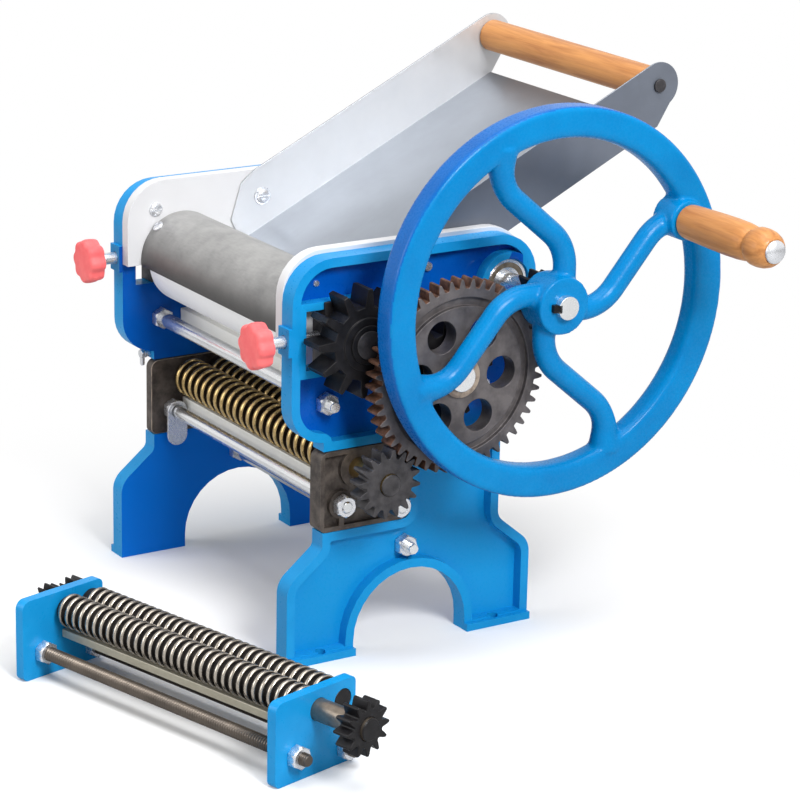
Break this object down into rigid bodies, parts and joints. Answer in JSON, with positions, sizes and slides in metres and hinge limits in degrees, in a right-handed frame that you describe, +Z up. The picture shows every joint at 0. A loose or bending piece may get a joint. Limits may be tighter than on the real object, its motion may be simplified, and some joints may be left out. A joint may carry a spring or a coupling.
{
  "type": "pasta machine",
  "caption": "Hand-cranked noodle press: cast side frames, geared smooth rollers with an adjustable gap, a ringed cutter head, flywheel with wooden grip, sheet tray and a spare cutter head.",
  "frame": {"origin": "on the table, centre of the four foot holes", "axes": "+X along the rollers to the flywheel side, +Y to the back (tray side), +Z up"},
  "size_m": [0.4457, 0.4619, 0.3607],
  "materials": {
    "blue_paint": "glossy cast",
    "white_plastic": "smooth",
    "bright_steel": "turned",
    "dull_steel": "rolled",
    "stainless_sheet": "folded sheet",
    "zinc": "zinc plated",
    "dark_cast": "as cast",
    "brown_cast": "machined, a little rusty",
    "black_iron": "black",
    "red_plastic": "moulded",
    "wood": "turned, varnished",
    "bronze": "sintered",
    "bronze_steel": "ground, tinted",
    "cream_plastic": "smooth"
  },
  "bodies": {
    "base": {"right_side_frame": "blue_paint", "left_side_frame": "blue_paint", "right_cheek": "white_plastic", "left_cheek": "white_plastic", "cheek_screws": "zinc", "lower_tie_rod": "bright_steel", "upper_tie_rod": "bright_steel", "rear_tie_rod": "bright_steel", "tie_rod_nuts": "zinc", "roller_scrapers": "cream_plastic", "crank_bearings": "bright_steel", "roller_bushes": "bronze", "latch_screw": "zinc", "tray_screws": "zinc"},
    "latch": {"cutter_latch": "zinc"},
    "carriage": {"right_bearing_block": "dark_cast", "left_bearing_block": "dark_cast", "roller_guard": "dull_steel", "guard_screws": "zinc"},
    "right_adjuster": {"right_adjust_screw": "zinc", "right_knob": "red_plastic"},
    "left_adjuster": {"left_adjust_screw": "zinc", "left_knob": "red_plastic"},
    "front_roller_set": {"front_roller": "bright_steel", "front_roller_gear": "black_iron", "front_gear_clip": "black_iron"},
    "rear_roller_set": {"rear_roller": "bright_steel", "rear_roller_gear": "black_iron", "large_drive_gear": "brown_cast", "drive_gear_ring": "zinc"},
    "crank": {"crank_shaft": "bright_steel", "flywheel": "blue_paint", "flywheel_key": "black_iron", "crank_pinion": "black_iron", "handle_bolt": "zinc"},
    "grip": {"handle_grip": "wood"},
    "tray_set": {"tray": "stainless_sheet", "tray_roller_pin": "bright_steel"},
    "dowel": {"tray_roller": "wood"},
    "cutter": {"cutter_right_plate": "dark_cast", "cutter_left_plate": "dark_cast", "cutter_comb": "cream_plastic", "cutter_tie_rods": "bright_steel", "cutter_nuts": "zinc", "cutter_tab": "zinc"},
    "cutter_front": {"cutter_front_roller": "bronze_steel", "cutter_drive_gear": "dark_cast", "cutter_front_gear": "black_iron"},
    "cutter_rear": {"cutter_rear_roller": "bronze_steel", "cutter_rear_gear": "black_iron"},
    "spare": {"spare_right_plate": "blue_paint", "spare_left_plate": "blue_paint", "spare_comb": "bronze", "spare_tie_rods": "dark_cast", "spare_nuts": "zinc"},
    "spare_front": {"spare_front_roller": "bright_steel", "spare_drive_gear": "black_iron", "spare_front_gear": "black_iron"},
    "spare_rear": {"spare_rear_roller": "bright_steel", "spare_rear_gear": "black_iron"}
  },
  "joints": [
    {"name": "flywheel_spin", "type": "hinge", "parent": "base", "child": "crank", "pos_m": [0, 0.06885, 0.23268], "axis": [1, 0, 0], "continuous": true},
    {"name": "rear_roller_spin", "type": "hinge", "parent": "base", "child": "rear_roller_set", "pos_m": [0, 0.00897, 0.18902], "axis": [1, 0, 0], "continuous": true},
    {"name": "roller_gap", "type": "slide", "parent": "base", "child": "carriage", "axis": [0, 1, 0], "range_m": [0, 0.004]},
    {"name": "front_roller_spin", "type": "hinge", "parent": "carriage", "child": "front_roller_set", "pos_m": [0, -0.0493, 0.214], "axis": [1, 0, 0], "continuous": true},
    {"name": "right_knob_turn", "type": "hinge", "parent": "carriage", "child": "right_adjuster", "pos_m": [0.1145, -0.0493, 0.214], "axis": [0, 1, 0], "range_deg": [0, 1152.5]},
    {"name": "left_knob_turn", "type": "hinge", "parent": "carriage", "child": "left_adjuster", "pos_m": [-0.1145, -0.0493, 0.214], "axis": [0, 1, 0], "range_deg": [0, 1152.5]},
    {"name": "grip_spin", "type": "hinge", "parent": "crank", "child": "grip", "pos_m": [0, 0.16124, 0.27718], "axis": [1, 0, 0], "continuous": true},
    {"name": "tray_tilt", "type": "hinge", "parent": "base", "child": "tray_set", "pos_m": [0, 0.01223, 0.24894], "axis": [1, 0, 0], "range_deg": [0, 60]},
    {"name": "tray_roller_spin", "type": "hinge", "parent": "tray_set", "child": "dowel", "pos_m": [0, 0.19778, 0.34522], "axis": [1, 0, 0], "continuous": true},
    {"name": "latch_turn", "type": "hinge", "parent": "base", "child": "latch", "pos_m": [-0.1155, -0.06844, 0.14325], "axis": [0, -1, 0], "range_deg": [0, 60]},
    {"name": "cutter_slide", "type": "slide", "parent": "base", "child": "cutter", "axis": [0, -1, 0], "range_m": [0, 0.12]},
    {"name": "cutter_front_spin", "type": "hinge", "parent": "cutter", "child": "cutter_front", "pos_m": [0, -0.04094, 0.12605], "axis": [1, 0, 0], "continuous": true},
    {"name": "cutter_rear_spin", "type": "hinge", "parent": "cutter", "child": "cutter_rear", "pos_m": [0, -0.01694, 0.12605], "axis": [1, 0, 0], "continuous": true},
    {"name": "spare_lift", "type": "slide", "parent": "base", "child": "spare", "axis": [0, 0, 1], "range_m": [0, 0.03]},
    {"name": "spare_front_spin", "type": "hinge", "parent": "spare", "child": "spare_front", "pos_m": [0.15741, -0.1848, 0.0402], "axis": [0.9659, 0.2588, 0], "continuous": true},
    {"name": "spare_rear_spin", "type": "hinge", "parent": "spare", "child": "spare_rear", "pos_m": [0.15224, -0.16548, 0.0402], "axis": [0.9659, 0.2588, 0], "continuous": true}
  ],
  "couplings": [
    {"joint": "rear_roller_spin", "follows": "flywheel_spin", "ratio": -0.22917},
    {"joint": "front_roller_spin", "follows": "flywheel_spin", "ratio": 0.22917},
    {"joint": "cutter_front_spin", "follows": "flywheel_spin", "ratio": 0.6875},
    {"joint": "cutter_rear_spin", "follows": "flywheel_spin", "ratio": -0.6875},
    {"joint": "right_knob_turn", "follows": "roller_gap", "rad_per_m": 5026.5},
    {"joint": "left_knob_turn", "follows": "roller_gap", "rad_per_m": 5026.5},
    {"joint": "spare_rear_spin", "follows": "spare_front_spin", "ratio": -1}
  ]
}
